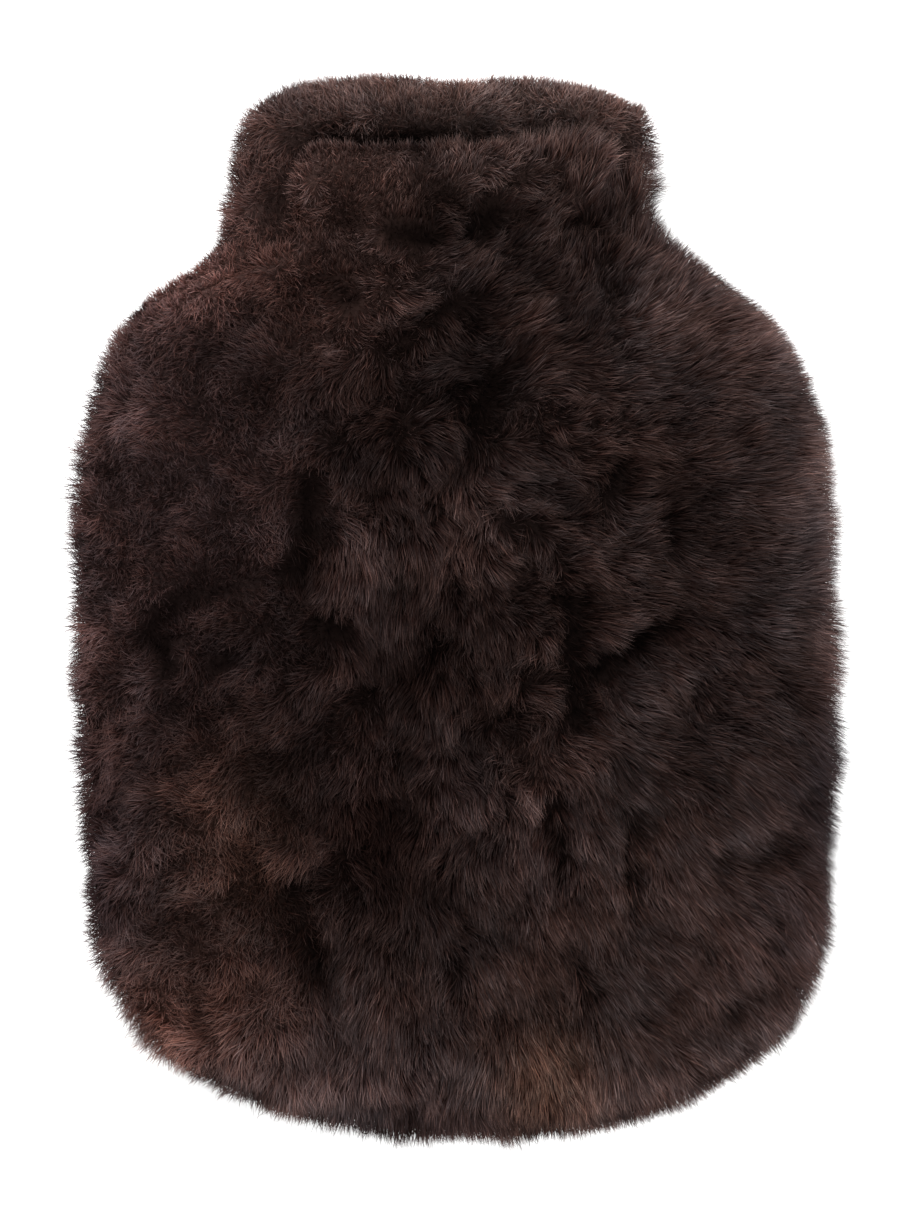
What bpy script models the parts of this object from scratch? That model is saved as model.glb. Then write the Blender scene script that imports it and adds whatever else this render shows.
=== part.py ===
"""Fur hot water bottle cover, lying on its back with its mouth towards +Y.

Two pelts, pile outwards, are sewn round a hollow for the bottle. The front's
pile is deep and lumpy. The back's pile is pressed flat by the surface, and at
the neck it wraps round both sides and past the mouth. Tufts stand out along
the rim and along the lip of the mouth.

Sizes are millimetres until the meshes are made, which are in metres.
"""

import math

import bmesh
import bpy
from mathutils import Vector, noise

MM = 0.001

# Outline of the cover, over the tips of its fur
FOOT_Y = -180.0
TOP_Y = 181.0
FOOT_ROUND_FROM = -95.0   # below this line the foot is a round end
TOP_ROUND_FROM = 160.0    # above this line the corners of the top are rounded
FOOT_POWER = {"left": 2.0, "right": 2.35}
TOP_POWER = 2.6
OUTLINE = (
    {"y": -95, "left": 125.0, "right": 129.0},
    {"y": -37, "left": 129.5, "right": 130.0},
    {"y": 17, "left": 130.5, "right": 128.0},
    {"y": 44, "left": 129.5, "right": 127.0},
    {"y": 64, "left": 125.5, "right": 126.0},
    {"y": 78, "left": 121.5, "right": 120.5},
    {"y": 91, "left": 117.0, "right": 113.0},
    {"y": 98, "left": 112.5, "right": 107.5},
    {"y": 105, "left": 104.5, "right": 99.5},
    {"y": 112, "left": 93.5, "right": 90.5},
    {"y": 118, "left": 85.0, "right": 80.5},
    {"y": 125, "left": 81.2, "right": 73.5},
    {"y": 132, "left": 80.0, "right": 71.0},
    {"y": 145, "left": 77.7, "right": 70.0},
    {"y": 160, "left": 75.0, "right": 68.5},
    {"y": 181, "left": 72.0, "right": 66.5},
)

# The wall of the cover, inside its rim of tufts
TUFT_REACH = 8.5          # from the wall to the tips
RIM_Z = 27.0              # height of the widest line, where the side seam runs
TOP_RIM_Z = 20.0          # height of that line at the top edge of the back
FRONT_ROUND = 36.0        # how far in from the rim the front rounds over
BACK_ROUND = 24.0         # how far in from the rim the back rounds under
TOP_END_ROUND = 18.0      # rounding of the back's top edge
SMALLEST_FLAT = 1.0
LIP_Y = 152.0             # end of the front panel
LIP_Z = 44.0
LIP_ROUND = 9.0
LIP_NARROWING = 0.08      # share of its width that the lip loses as it rounds down
CROWN_DROP = 3.0          # the front is this much lower beside its middle
SEAM_GAP = 0.3
WALL_FOOT = FOOT_Y + TUFT_REACH
WALL_TOP = TOP_Y - TUFT_REACH

# Heights of the front's crown, and how far in from the rim the side seam runs:
# round the body it follows the rim, and at the neck it climbs onto the face.
SHAPE = (
    {"y": -173, "crown": 57.0, "left": 0.0, "right": 0.0},
    {"y": 60, "crown": 59.0, "left": 0.0, "right": 0.0},
    {"y": 95, "crown": 58.5, "left": 0.0, "right": 0.0},
    {"y": 103, "crown": 58.0, "left": 3.0, "right": 2.0},
    {"y": 111, "crown": 57.0, "left": 9.0, "right": 6.0},
    {"y": 119, "crown": 56.0, "left": 14.0, "right": 9.5},
    {"y": 127, "crown": 55.5, "left": 16.0, "right": 11.0},
    {"y": 176, "crown": 54.0, "left": 16.0, "right": 11.0},
)

# The hollow for the bottle: how far it stays in from the rim, the height of
# its edge, and its lowest and highest points. It narrows into the mouth.
HOLLOW_FOOT = -148.0
HOLLOW_FULL = -100.0
HOLLOW_POWER = 2.5
HOLLOW_LARGEST_MARGIN = 0.4   # share of the wall's width, where the cover is narrow
HOLLOW_EDGE_RISE = 6.0        # highest its edge lies over the rim
HOLLOW = (
    {"y": -173, "margin": 20.0, "edge": 27.0, "floor": 13.0, "roof": 38.0},
    {"y": 60, "margin": 20.0, "edge": 27.0, "floor": 13.0, "roof": 38.0},
    {"y": 100, "margin": 20.0, "edge": 28.0, "floor": 16.0, "roof": 38.0},
    {"y": 120, "margin": 20.0, "edge": 31.0, "floor": 22.0, "roof": 38.0},
    {"y": 152, "margin": 20.0, "edge": 33.0, "floor": 28.0, "roof": 39.0},
    {"y": 176, "margin": 20.0, "edge": 32.0, "floor": 28.5, "roof": 40.0},
)

# Partings where the front's pile falls open, each a soft trough on a line
PARTINGS = (
    {"x": 46, "y": -21, "to_x": 77, "to_y": -3, "width": 6.5, "depth": 6.0},
    {"x": 39, "y": 7, "to_x": 40, "to_y": -36, "width": 6.0, "depth": 5.5},
    {"x": -46, "y": 45, "to_x": -52, "to_y": 7, "width": 6.5, "depth": 5.5},
    {"x": 33, "y": -60, "to_x": 36, "to_y": -92, "width": 5.5, "depth": 5.0},
    {"x": -55, "y": -94, "to_x": -45, "to_y": -120, "width": 8.0, "depth": 4.5},
    {"x": -45, "y": 110, "to_x": -37, "to_y": 103, "width": 5.5, "depth": 5.0},
    {"x": -10, "y": 129, "to_x": 15, "to_y": 128, "width": 6.0, "depth": 4.0},
    {"x": -104, "y": -10, "to_x": -86, "to_y": 7, "width": 6.0, "depth": 4.0},
    {"x": 5, "y": 57, "to_x": 19, "to_y": 79, "width": 8.0, "depth": 3.5},
    {"x": -70, "y": -60, "to_x": -30, "to_y": -30, "width": 12.0, "depth": 3.0},
)
LARGE_LUMPS = {"height": 4.2, "across": 24.0, "along": 31.0, "seed": 3.7}
SMALL_LUMPS = {"height": 3.0, "across": 11.0, "along": 15.0, "seed": 8.1}
SIDE_LUMP_HEIGHT = 3.5
SIDE_LUMP_PITCH = 16.0
NECK_GROOVE = {"from": 112.0, "full": 128.0, "width": 5.0, "depth": 5.0}

# Mesh steps
STATION_STEP = 6.4
FOOT_STEPS = 8
TOP_STEPS = 5
LAST_ANGLE = math.radians(80)   # the rounded ends close with a small face here
LIP_STEPS = 3
RIM_LINE_STEPS = 160
FRONT_COLUMNS = 40
BACK_SIDE_COLUMNS = 9
BACK_FLAT_COLUMNS = 5
HOLLOW_COLUMNS = 10

# The tufts and the narrow strips that they grow from
STRIP_THICK = 1.2
STRIP_HALF_HEIGHT = 5.4
STRIP_CLEARANCE = 0.5
RIM_SEGMENTS = 244
MOUTH_SEGMENTS = 22
MOUTH_LEFT = -44.0
MOUTH_RIGHT = 36.0
MOUTH_STRIP_Z = 42.0
MOUTH_STRIP_HALF_HEIGHT = 2.2
MOUTH_CLEARANCE = 0.3
FIRST_IN_ROW = {"high": 0, "low": 1}
TUFT_SWELL = 1.7          # a tuft is this much wider in its middle than at its root
TUFT_SPREAD = 0.9         # and this much as thick
TUFT_WIDEST = 0.5         # its widest place, as a share of its length
TUFT_LENGTHS = {"mean": 0.92, "spread": 0.45, "pitch": 17.0, "seed": 5.3}
RIM_TUFT_TILT = {"high": 0.35, "low": -0.3}
RIM_TUFT_DROOP = -0.35    # tufts beside the body lie towards the foot
MOUTH_TUFT_TILT = {"high": 0.35, "low": 0.05}
MOUTH_TUFT_LEAN = 0.1

FUR_COLOURS = {
    "front_panel": (0.030, 0.018, 0.016, 1.0),
    "back_panel": (0.024, 0.015, 0.013, 1.0),
    "rim_locks": (0.040, 0.025, 0.021, 1.0),
    "mouth_locks": (0.050, 0.032, 0.027, 1.0),
}


def along(table, column, y):
    """Value of a table's column at y, on a smooth curve through its rows."""
    y = min(max(y, table[0]["y"]), table[-1]["y"])
    k = 0
    while k < len(table) - 2 and y > table[k + 1]["y"]:
        k += 1
    low, high = table[k], table[k + 1]
    span = high["y"] - low["y"]

    def slope(i):
        before, after = table[max(i - 1, 0)], table[min(i + 1, len(table) - 1)]
        here = table[i][column]
        rise, fall = after[column] - here, here - before[column]
        if rise * fall <= 0:
            return 0.0
        return (after[column] - before[column]) / (after["y"] - before["y"])

    t = (y - low["y"]) / span
    start, end = low[column], high[column]
    bend = (2 * t**3 - 3 * t**2 + 1) * start + (3 * t**2 - 2 * t**3) * end
    bend += (t**3 - 2 * t**2 + t) * span * slope(k)
    return bend + (t**3 - t**2) * span * slope(k + 1)


def round_off(distance, reach, power=2.0):
    """1 away from an edge, falling to 0 on it, along a round profile."""
    t = min(max(1 - distance / reach, 0.0), 1.0)
    return (1 - t**power) ** (1 / power)


def wall_width(side, y):
    """Distance from the middle plane to the wall, on one side."""
    width = along(OUTLINE, side, y) - TUFT_REACH
    foot = round_off(y - WALL_FOOT, FOOT_ROUND_FROM - WALL_FOOT, FOOT_POWER[side])
    top = round_off(WALL_TOP - y, WALL_TOP - TOP_ROUND_FROM, TOP_POWER)
    return width * foot * top


def rim_height(y):
    """Height of the widest line, which sinks towards the back's top edge."""
    t = min(max((y - LIP_Y) / (WALL_TOP - LIP_Y), 0.0), 1.0)
    return RIM_Z + (TOP_RIM_Z - RIM_Z) * t * t * (3 - 2 * t)


def end_rounding(y):
    """How full the upper surfaces are near the foot and near the top."""
    return round_off(y - WALL_FOOT, FRONT_ROUND) * round_off(WALL_TOP - y, TOP_END_ROUND)


def floor_rounding(y):
    """How full the underside is near the foot and near the top."""
    return round_off(y - WALL_FOOT, BACK_ROUND) * round_off(WALL_TOP - y, TOP_END_ROUND)


def flat_share(side, y):
    """Share of the upper half profile that lies inside its rounded edge."""
    flat = max(wall_width(side, y) - FRONT_ROUND, SMALLEST_FLAT)
    return flat / (flat + math.pi / 2 * min(FRONT_ROUND, wall_width(side, y)))


def parting_depth(x, y):
    """Depth of the partings at a point of the front."""
    total = 0.0
    for row in PARTINGS:
        start = Vector((row["x"], row["y"]))
        line = Vector((row["to_x"], row["to_y"])) - start
        share = (Vector((x, y)) - start).dot(line) / line.length_squared
        nearest = start + line * min(max(share, 0.0), 1.0)
        away = (Vector((x, y)) - nearest).length / row["width"]
        total += row["depth"] * math.exp(-away * away)
    return total


def lumps(x, y):
    """Height of the pile's lumps and tufts over the even surface."""
    total = 0.0
    for kind in (LARGE_LUMPS, SMALL_LUMPS):
        place = Vector((x / kind["across"], y / kind["along"], kind["seed"]))
        total += kind["height"] * noise.noise(place)
    return total


def seam_groove(y, inset, seam_in):
    """Depth of the groove in the pile along the neck's seam."""
    full = (y - NECK_GROOVE["from"]) / (NECK_GROOVE["full"] - NECK_GROOVE["from"])
    away = (inset - seam_in) / NECK_GROOVE["width"]
    return NECK_GROOVE["depth"] * min(max(full, 0.0), 1.0) * math.exp(-away * away)


def upper_point(side, y, u):
    """A point of the upper surface, with u from 0 at the middle to 1 at the rim."""
    width = wall_width(side, y)
    reach = min(FRONT_ROUND, width)
    share = flat_share(side, y)
    if u <= share:
        angle = 0.0
        x = (width - reach) * u / share
    else:
        angle = math.pi / 2 * (u - share) / (1 - share)
        x = width - reach + reach * math.sin(angle)
    sign = -1 if side == "left" else 1
    drop = CROWN_DROP * min(x / max(width - reach, SMALLEST_FLAT), 1.0) ** 2
    rim = rim_height(y)
    full = along(SHAPE, "crown", y) - drop - rim
    bumps = lumps(sign * x, y) - parting_depth(sign * x, y)
    bumps -= seam_groove(y, width - x, along(SHAPE, side, y))
    bumps *= (1 - u**6) * end_rounding(y)
    z = rim + full * math.cos(angle) * end_rounding(y) + bumps * math.cos(angle)
    return Vector((sign * (x + bumps * math.sin(angle)), y, z))


def lower_point(side, y, v):
    """A point of the underside, with v from 0 where the flat ends to 1 at the rim."""
    width = wall_width(side, y)
    reach = min(BACK_ROUND, width)
    angle = math.pi / 2 * v
    x = width - reach + reach * math.sin(angle)
    z = rim_height(y) * (1 - math.cos(angle) * floor_rounding(y))
    sign = -1 if side == "left" else 1
    bulge = SIDE_LUMP_HEIGHT * noise.noise(Vector((y / SIDE_LUMP_PITCH, sign, v)))
    bulge *= 4 * v * (1 - v) * floor_rounding(y)
    return Vector((sign * (x + bulge), y, z))


def seam_share(side, y):
    """Where the side seam lies on the upper profile, from 0 to 1."""
    reach = min(FRONT_ROUND, wall_width(side, y))
    inset = min(along(SHAPE, side, y), reach)
    share = flat_share(side, y)
    return share + (1 - share) * math.asin(1 - inset / reach) / (math.pi / 2)


def hollow_point(y, t, surface):
    """A point of the hollow, with t from -1 at its left edge to 1 at its right."""
    side = "left" if t < 0 else "right"
    width = wall_width(side, y)
    reach = width - min(along(HOLLOW, "margin", y), HOLLOW_LARGEST_MARGIN * width)
    highest_edge = rim_height(y) + HOLLOW_EDGE_RISE * end_rounding(y)
    edge = min(along(HOLLOW, "edge", y), highest_edge)
    swell = max(1 - abs(t) ** HOLLOW_POWER, 0.0) ** (1 / HOLLOW_POWER)
    depth = (along(HOLLOW, surface, y) - edge) * swell
    depth *= round_off(y - HOLLOW_FOOT, HOLLOW_FULL - HOLLOW_FOOT)
    if surface == "floor" and y > LIP_Y:
        full = edge + depth
        return Vector((t * reach, y, rim_height(y) + (full - rim_height(y)) * end_rounding(y)))
    return Vector((t * reach, y, edge + depth))


def seam_ends(side, y, towards):
    """Outer and inner end of the seam face, moved half the gap to one panel."""
    sign = -1 if side == "left" else 1
    outer = upper_point(side, y, seam_share(side, y))
    inner = hollow_point(y, sign * 1.0, "floor")
    run = (outer - inner).normalized()
    off = Vector((-sign * run.z, 0, sign * run.x)) * (towards * SEAM_GAP / 2)
    return outer + off, inner + off


def stations():
    """Places along the cover where its cross-section is drawn, foot first."""
    foot = [
        WALL_FOOT + FRONT_ROUND * (1 - math.sin(LAST_ANGLE * (1 - k / FOOT_STEPS)))
        for k in range(FOOT_STEPS)
    ]
    lip = [
        LIP_Y - LIP_ROUND * (1 - math.sin(math.pi / 2 * k / LIP_STEPS))
        for k in range(LIP_STEPS + 1)
    ]
    first = WALL_FOOT + FRONT_ROUND
    steps = round((lip[0] - first) / STATION_STEP)
    body = [first + (lip[0] - first) * k / steps for k in range(steps)]
    top = [
        WALL_TOP - TOP_END_ROUND * (1 - math.sin(LAST_ANGLE * k / TOP_STEPS))
        for k in range(TOP_STEPS + 1)
    ]
    return foot + body + lip, top


def front_ring(y):
    """Cross-section of the front panel: over its pile, then back under its hide."""
    fullness = round_off(LIP_Y - y, LIP_ROUND)
    left, left_inner = seam_ends("left", y, 1)
    right, right_inner = seam_ends("right", y, 1)
    ring = [left]
    shares = [-seam_share("left", y), seam_share("right", y)]
    for k in range(1, FRONT_COLUMNS):
        u = shares[0] + (shares[1] - shares[0]) * k / FRONT_COLUMNS
        ring.append(upper_point("left" if u < 0 else "right", y, abs(u)))
    ring.append(right)
    if fullness < 1:
        ring = [lip_point(p, fullness, left, left_inner, right, right_inner) for p in ring]
    ring.append(right_inner)
    for k in range(1, HOLLOW_COLUMNS):
        ring.append(hollow_point(y, 1 - 2 * k / HOLLOW_COLUMNS, "roof"))
    ring.append(left_inner)
    return ring


def lip_point(point, fullness, left, left_inner, right, right_inner):
    """Brings a point of the front down towards the lip, inside both seams."""
    z = LIP_Z + (point.z - LIP_Z) * fullness if point.z > LIP_Z else point.z
    low = left_inner + (left - left_inner) * (z - left_inner.z) / (left.z - left_inner.z)
    high = right_inner + (right - right_inner) * (z - right_inner.z) / (right.z - right_inner.z)
    share = (point.x - left.x) / (right.x - left.x)
    rounded = 0.5 + (share - 0.5) * (1 - LIP_NARROWING * (1 - fullness))
    return Vector((low.x + (high.x - low.x) * rounded, point.y, z))


def back_ring(y):
    """Cross-section of the back panel: round under its pile, then over its hide."""
    left, left_inner = seam_ends("left", y, -1)
    right, right_inner = seam_ends("right", y, -1)
    ring = [left]
    for side in ("left", "right"):
        run = []
        start, end = seam_share(side, y), 2.0
        for k in range(1, BACK_SIDE_COLUMNS + 1):
            w = start + (end - start) * k / BACK_SIDE_COLUMNS
            run.append(upper_point(side, y, w) if w < 1 else lower_point(side, y, 2.0 - w))
        if side == "left":
            ring += run
            flat_from = run[-1]
        else:
            for k in range(1, BACK_FLAT_COLUMNS):
                ring.append(flat_from.lerp(run[-1], k / BACK_FLAT_COLUMNS))
            ring += reversed(run)
    ring.append(right)
    ring.append(right_inner)
    for k in range(1, HOLLOW_COLUMNS):
        ring.append(hollow_point(y, 1 - 2 * k / HOLLOW_COLUMNS, "floor"))
    ring.append(left_inner)
    return ring


def add_object(name, bm, collection):
    """Closes a piece's mesh and puts it in the collection with its own fur."""
    bmesh.ops.triangulate(bm, faces=bm.faces[:], quad_method="FIXED")
    bmesh.ops.scale(bm, vec=Vector((MM, MM, MM)), verts=bm.verts)
    mesh = bpy.data.meshes.new(name)
    bm.to_mesh(mesh)
    bm.free()
    mesh.shade_smooth()
    fur = bpy.data.materials.new(name + "_fur")
    fur.use_nodes = True
    shader = fur.node_tree.nodes["Principled BSDF"]
    shader.inputs["Base Color"].default_value = FUR_COLOURS[name]
    shader.inputs["Roughness"].default_value = 0.85
    shader.inputs["Metallic"].default_value = 0.0
    mesh.materials.append(fur)
    piece = bpy.data.objects.new(name, mesh)
    collection.objects.link(piece)
    return piece


def loft(rings, over_first):
    """Closed skin through rings of equal length, with a face at each end.

    Each ring starts at the left seam. over_first tells whether it then runs
    over the top, as the front's does, or under the back.
    """
    bm = bmesh.new()
    loops = [[bm.verts.new(p) for p in ring] for ring in rings]
    count = len(rings[0])
    for low, high in zip(loops, loops[1:]):
        for k in range(count):
            n = (k + 1) % count
            quad = (low[k], high[k], high[n], low[n])
            bm.faces.new((quad[0], quad[3], quad[2], quad[1]) if over_first else quad)
    bm.faces.new(loops[0][::-1] if over_first else loops[0])
    bm.faces.new(loops[-1] if over_first else loops[-1][::-1])
    return bm


def front_panel(collection):
    """The face pelt, from the foot to the lip of the mouth."""
    body, _ = stations()
    return add_object("front_panel", loft([front_ring(y) for y in body], True), collection)


def back_panel(collection):
    """The back pelt, from the foot past the mouth to the top edge."""
    body, top = stations()
    return add_object("back_panel", loft([back_ring(y) for y in body + top], False), collection)


def rim_line():
    """The wall's widest line, right round, anticlockwise from the foot."""
    fine = [-math.cos(math.pi * k / RIM_LINE_STEPS) for k in range(RIM_LINE_STEPS + 1)]
    middle, reach = (WALL_TOP + WALL_FOOT) / 2, (WALL_TOP - WALL_FOOT) / 2
    ys = [middle + reach * f for f in fine]
    right = [Vector((wall_width("right", y), y, rim_height(y))) for y in ys]
    left = [Vector((-wall_width("left", y), y, rim_height(y))) for y in ys]
    return right + left[::-1]


def even_steps(line, count):
    """Points at even distances along a closed line."""
    line = line + [line[0]]
    lengths = [0.0]
    for a, b in zip(line, line[1:]):
        lengths.append(lengths[-1] + (b - a).length)
    points, k = [], 0
    for n in range(count):
        target = lengths[-1] * n / count
        while lengths[k + 1] < target:
            k += 1
        share = (target - lengths[k]) / max(lengths[k + 1] - lengths[k], 1e-9)
        points.append(line[k].lerp(line[k + 1], share))
    return points


def outward(points, closed):
    """Level directions away from the cover at each point of a strip's line."""
    found = []
    for k in range(len(points)):
        if closed:
            run = points[(k + 1) % len(points)] - points[k - 1]
        else:
            run = points[min(k + 1, len(points) - 1)] - points[max(k - 1, 0)]
        found.append(Vector((run.y, -run.x, 0)).normalized())
    return found


def tuft_strip(points, closed, clearance, half_height):
    """A narrow strip along a line, and its outer faces in a low and a high row."""
    bm = bmesh.new()
    loops = []
    for point, out in zip(points, outward(points, closed)):
        inner = point + out * clearance
        outer = inner + out * STRIP_THICK
        up = Vector((0, 0, half_height))
        corners = (inner - up, outer - up, outer, outer + up, inner + up)
        loops.append([bm.verts.new(c) for c in corners])
    rows = {"low": [], "high": []}
    pairs = list(zip(loops, loops[1:] + loops[:1] if closed else loops[1:]))
    for a, b in pairs:
        for k in range(5):
            n = (k + 1) % 5
            face = bm.faces.new((a[k], b[k], b[n], a[n]))
            if k in (1, 2):
                rows["low" if k == 1 else "high"].append(face)
    if not closed:
        bm.faces.new(loops[0])
        bm.faces.new(loops[-1][::-1])
    bmesh.ops.recalc_face_normals(bm, faces=bm.faces)
    return bm, rows


def grow_tuft(bm, face, length, lean):
    """Pulls one face of a strip out into a tuft that swells and comes to a point."""
    out = face.normal.copy()
    centre = face.calc_center_median()
    grown = bmesh.ops.extrude_discrete_faces(bm, faces=[face])["faces"][0]
    middle = centre + (out + lean * TUFT_WIDEST) * length * TUFT_WIDEST
    sideways = Vector((-out.y, out.x, 0)).normalized()
    for vert in grown.verts:
        arm = vert.co - centre
        across = sideways * arm.dot(sideways) * TUFT_SWELL
        vert.co = middle + across + Vector((0, 0, arm.z * TUFT_SPREAD))
    tip = bmesh.ops.poke(bm, faces=[grown])["verts"][0]
    tip.co = centre + (out + lean) * length


def tuft_length(point):
    """Length of a tuft from its place, uneven as in a pelt."""
    pitch = TUFT_LENGTHS["pitch"]
    uneven = noise.noise(Vector((point.x / pitch, point.y / pitch, TUFT_LENGTHS["seed"])))
    share = TUFT_LENGTHS["mean"] + TUFT_LENGTHS["spread"] * uneven
    return (TUFT_REACH - STRIP_THICK - STRIP_CLEARANCE) * share


def rim_locks(collection):
    """Tufts round the whole outline, in two rows that stagger."""
    line = even_steps(rim_line(), RIM_SEGMENTS)
    bm, rows = tuft_strip(line, True, STRIP_CLEARANCE, STRIP_HALF_HEIGHT)
    for row, faces in rows.items():
        for face in faces[FIRST_IN_ROW[row] :: 2]:
            centre = face.calc_center_median()
            droop = RIM_TUFT_DROOP if centre.y < LIP_Y else 0.0
            grow_tuft(bm, face, tuft_length(centre), Vector((0, droop, RIM_TUFT_TILT[row])))
    return add_object("rim_locks", bm, collection)


def mouth_locks(collection):
    """Tufts along the lip of the mouth, in two rows that stagger."""
    step = (MOUTH_RIGHT - MOUTH_LEFT) / MOUTH_SEGMENTS
    line = [
        Vector((MOUTH_RIGHT - step * k, LIP_Y, MOUTH_STRIP_Z))
        for k in range(MOUTH_SEGMENTS + 1)
    ]
    bm, rows = tuft_strip(line, False, MOUTH_CLEARANCE, MOUTH_STRIP_HALF_HEIGHT)
    for row, faces in rows.items():
        for face in faces[FIRST_IN_ROW[row] :: 2]:
            length = tuft_length(face.calc_center_median())
            lean = Vector((MOUTH_TUFT_LEAN, 0, MOUTH_TUFT_TILT[row]))
            grow_tuft(bm, face, length, lean)
    return add_object("mouth_locks", bm, collection)


for old in list(bpy.data.objects):
    bpy.data.objects.remove(old)
cover = bpy.data.collections.new("hot_water_bottle_cover")
bpy.context.scene.collection.children.link(cover)
front_panel(cover)
back_panel(cover)
rim_locks(cover)
mouth_locks(cover)
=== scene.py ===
"""Fur hot water bottle cover, lying on its back, seen from straight above."""

import math
import bmesh
import bpy
import numpy as np
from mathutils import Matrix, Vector, noise
from mathutils.bvhtree import BVHTree


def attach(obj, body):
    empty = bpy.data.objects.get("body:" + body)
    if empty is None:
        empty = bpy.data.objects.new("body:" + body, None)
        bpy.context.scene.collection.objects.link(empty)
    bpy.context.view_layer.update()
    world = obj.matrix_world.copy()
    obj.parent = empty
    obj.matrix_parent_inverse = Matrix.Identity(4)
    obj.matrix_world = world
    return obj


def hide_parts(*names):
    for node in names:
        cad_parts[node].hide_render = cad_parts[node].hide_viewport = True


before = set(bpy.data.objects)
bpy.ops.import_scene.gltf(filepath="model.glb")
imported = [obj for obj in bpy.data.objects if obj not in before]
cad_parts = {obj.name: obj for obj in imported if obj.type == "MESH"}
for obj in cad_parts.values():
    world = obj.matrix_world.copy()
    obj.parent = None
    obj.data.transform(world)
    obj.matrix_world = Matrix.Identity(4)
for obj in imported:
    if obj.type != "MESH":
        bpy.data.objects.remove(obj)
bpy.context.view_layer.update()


# ---------------------------------------------------------------------------
# Table, light and camera. The cover lies on a plain white table under soft
# studio light, and the camera looks straight down on it from high above.
# ---------------------------------------------------------------------------
MM = 0.001
PHOTO_SIZE = (914, 1218)
MM_PER_PIXEL = 0.338
EYE_LEVEL = 27 * MM            # the cover's widest line, where that scale holds
EYE_HEIGHT = 1.7               # over that line
EYE_REACH = 50                 # m, how far it sees
FRAME_MIDDLE = (0.7 * MM, 0.3 * MM)
FILM_HEIGHT = 36.0
WHITE = (1, 1, 1, 1)
TABLE_SIZE = 9.0
TABLE_COLOUR, TABLE_ROUGH = (0.90, 0.90, 0.90, 1), 0.8
TABLE_GLOW = 0.25              # keeps the white round the cover free of grey
DULL = 0.1                     # how little a plain finish shines
ROOM_LIGHT = 0.95
SOFT_BOXES = (
    {"name": "key_light", "place": (-0.7, 1.2, 2.0), "size": 1.3, "watts": 80},
    {"name": "side_light", "place": (1.5, -0.4, 1.7), "size": 1.6, "watts": 40},
)


class Wire:
    """One output of a node, which takes part in sums and products like a number."""

    def __init__(self, nodes, socket):
        self.nodes, self.socket = nodes, socket

    def __add__(self, other):
        return self.nodes.sum("ADD", self, other)

    def __radd__(self, other):
        return self.nodes.sum("ADD", other, self)

    def __sub__(self, other):
        return self.nodes.sum("SUBTRACT", self, other)

    def __rsub__(self, other):
        return self.nodes.sum("SUBTRACT", other, self)

    def __mul__(self, other):
        return self.nodes.sum("MULTIPLY", self, other)

    def __rmul__(self, other):
        return self.nodes.sum("MULTIPLY", other, self)

    def __gt__(self, other):
        return self.nodes.sum("GREATER_THAN", self, other)

    def __lt__(self, other):
        return self.nodes.sum("LESS_THAN", self, other)


class Nodes:
    """A node tree that nodes are added to, each by its type, settings and sockets."""

    def __init__(self, tree):
        self.tree = tree
        tree.nodes.clear()

    def add(self, kind, settings=None, sockets=None):
        node = self.tree.nodes.new(kind)
        for name, value in (settings or {}).items():
            if name == "stops":
                ramp = node.color_ramp.elements
                while len(ramp) < len(value):
                    ramp.new(1.0)
                for stop, (place, colour) in zip(ramp, value):
                    stop.position, stop.color = place, colour
            else:
                setattr(node, name, value)
        self.feed(node, sockets or {})
        return node

    def feed(self, node, sockets):
        """Gives a node's sockets their values, or links them to wires."""
        for name, value in sockets.items():
            socket = self.named(node.inputs, name)
            if isinstance(value, Wire):
                self.tree.links.new(value.socket, socket)
            else:
                socket.default_value = value

    def named(self, sockets, name):
        if isinstance(name, int):
            return [s for s in sockets if s.enabled][name]
        return next(s for s in sockets if s.enabled and s.name == name)

    def out(self, kind, settings=None, sockets=None, name=0):
        node = self.add(kind, settings, sockets)
        return Wire(self, self.named(node.outputs, name))

    def sum(self, operation, *terms):
        """A Math node, or a Vector Math node where a term is a vector or a colour."""
        vector = any(
            t.socket.type in ("VECTOR", "RGBA") if isinstance(t, Wire) else isinstance(t, tuple)
            for t in terms
        )
        kind = "ShaderNodeVectorMath" if vector else "ShaderNodeMath"
        if vector:
            terms = [t if isinstance(t, (Wire, tuple)) else (t, t, t) for t in terms]
        return self.out(kind, {"operation": operation}, dict(enumerate(terms)))

    def measure(self, operation, *terms):
        """The number that a Vector Math node gives, such as a length or a dot product."""
        settings = {"operation": operation}
        return self.out("ShaderNodeVectorMath", settings, dict(enumerate(terms)), "Value")

    def mix(self, share, first, second, kind="RGBA"):
        """A Mix node between two colours, or two vectors where its kind says so."""
        sockets = {"Factor": share, "A": first, "B": second}
        return self.out("ShaderNodeMix", {"data_type": kind}, sockets)


def plain_finish(name, colour, roughness):
    """A material with a tree that holds only its shader and its output."""
    finish = bpy.data.materials.new(name)
    finish.use_nodes = True
    nodes = Nodes(finish.node_tree)
    looks = {"Base Color": colour, "Roughness": roughness, "Specular IOR Level": DULL}
    shader = nodes.add("ShaderNodeBsdfPrincipled", {}, looks)
    surface = Wire(nodes, shader.outputs["BSDF"])
    nodes.add("ShaderNodeOutputMaterial", {}, {"Surface": surface})
    return finish, nodes, shader


scene = bpy.context.scene
half = TABLE_SIZE / 2
table_mesh = bpy.data.meshes.new("table")
table_mesh.from_pydata(
    [(-half, -half, 0), (half, -half, 0), (half, half, 0), (-half, half, 0)],
    [], [(0, 1, 2, 3)],
)
table = bpy.data.objects.new("table", table_mesh)
scene.collection.objects.link(table)
table_white, nodes, shader = plain_finish("table_white", TABLE_COLOUR, TABLE_ROUGH)
nodes.feed(shader, {"Emission Color": WHITE, "Emission Strength": TABLE_GLOW})
table_mesh.materials.append(table_white)

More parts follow.
